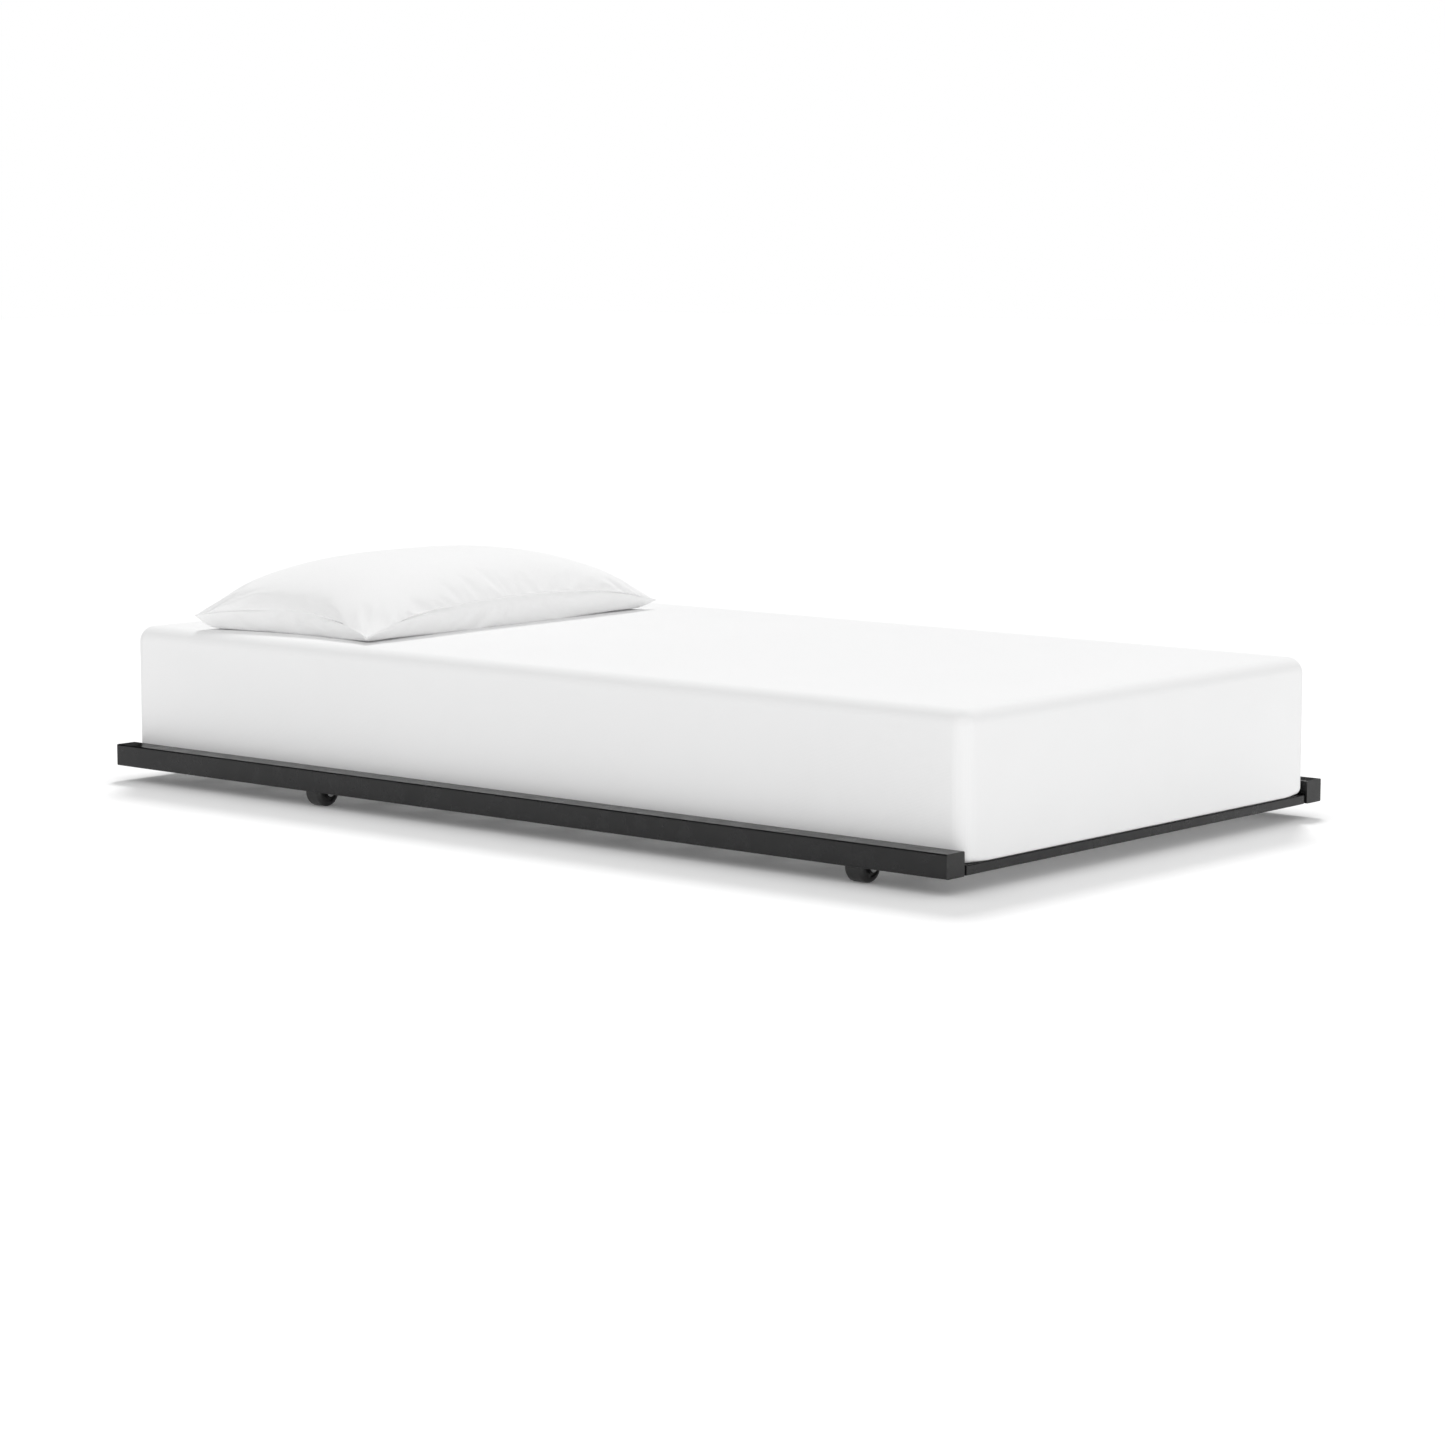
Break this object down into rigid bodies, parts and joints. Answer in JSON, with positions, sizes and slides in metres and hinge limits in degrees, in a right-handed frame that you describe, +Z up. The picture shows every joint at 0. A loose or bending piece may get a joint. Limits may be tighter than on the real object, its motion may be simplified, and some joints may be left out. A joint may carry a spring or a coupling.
{
  "type": "trundle bed",
  "caption": "Low trundle bed on fixed rollers: slim black tubular steel side rails, thin end bars and a slatted deck, with a plain white mattress and a pillow.",
  "frame": {"origin": "on the floor under the middle of the bed", "axes": "+X to the foot end, +Y to the back rail, +Z up; the rollers' axles lie along X, so the bed rolls along Y"},
  "size_m": [1.905, 1.057, 0.41],
  "materials": {
    "black_frame": "black powder coat, semi-gloss, fine orange peel",
    "black_fork": "black powder coat, satin",
    "black_plug": "moulded black polyethylene, fine texture",
    "roller_plastic": "moulded black nylon, satin",
    "zinc": "bright zinc plating",
    "mattress_fabric": "plain white knitted cover",
    "pillow_cotton": "white woven cotton pillowcase with knife-edge seams"
  },
  "bodies": {
    "frame": {"axle_back_foot": "zinc", "axle_back_head": "zinc", "axle_caps": "zinc", "axle_front_foot": "zinc", "axle_front_head": "zinc", "bar_screws": "zinc", "bar_stub_back_foot": "black_frame", "bar_stub_back_head": "black_frame", "bar_stub_front_foot": "black_frame", "bar_stub_front_head": "black_frame", "end_bar_foot": "black_frame", "end_bar_head": "black_frame", "fork_back_foot": "black_fork", "fork_back_head": "black_fork", "fork_front_foot": "black_fork", "fork_front_head": "black_fork", "ledge_back_foot": "black_frame", "ledge_back_head": "black_frame", "ledge_back_middle": "black_frame", "ledge_front_foot": "black_frame", "ledge_front_head": "black_frame", "ledge_front_middle": "black_frame", "rail_back": "black_frame", "rail_front": "black_frame", "rail_plug_back_foot": "black_plug", "rail_plug_back_head": "black_plug", "rail_plug_front_foot": "black_plug", "rail_plug_front_head": "black_plug", "slat_01": "black_frame", "slat_02": "black_frame", "slat_03": "black_frame", "slat_04": "black_frame", "slat_05": "black_frame", "slat_06": "black_frame", "slat_07": "black_frame", "slat_08": "black_frame", "slat_09": "black_frame", "slat_10": "black_frame", "slat_11": "black_frame", "slat_12": "black_frame", "slat_screws_back": "zinc", "slat_screws_front": "zinc"},
    "roller_back_foot": {"roller_back_foot": "roller_plastic"},
    "roller_back_head": {"roller_back_head": "roller_plastic"},
    "roller_front_foot": {"roller_front_foot": "roller_plastic"},
    "roller_front_head": {"roller_front_head": "roller_plastic"},
    "mattress": {"mattress": "mattress_fabric"},
    "pillow": {"pillow": "pillow_cotton"}
  },
  "joints": [
    {"name": "roller_back_foot_spin", "type": "hinge", "parent": "frame", "child": "roller_back_foot", "pos_m": [0.7675, 0.5, 0.025], "axis": [1, 0, 0], "continuous": true},
    {"name": "roller_back_head_spin", "type": "hinge", "parent": "frame", "child": "roller_back_head", "pos_m": [-0.44, 0.5, 0.025], "axis": [1, 0, 0], "continuous": true},
    {"name": "roller_front_foot_spin", "type": "hinge", "parent": "frame", "child": "roller_front_foot", "pos_m": [0.7675, -0.5, 0.025], "axis": [1, 0, 0], "continuous": true},
    {"name": "roller_front_head_spin", "type": "hinge", "parent": "frame", "child": "roller_front_head", "pos_m": [-0.44, -0.5, 0.025], "axis": [1, 0, 0], "continuous": true},
    {"name": "mattress_lift", "type": "slide", "parent": "frame", "child": "mattress", "axis": [0, 0, 1], "range_m": [0, 0.3]},
    {"name": "pillow_lift", "type": "slide", "parent": "mattress", "child": "pillow", "axis": [0, 0, 1], "range_m": [0, 0.3]}
  ]
}
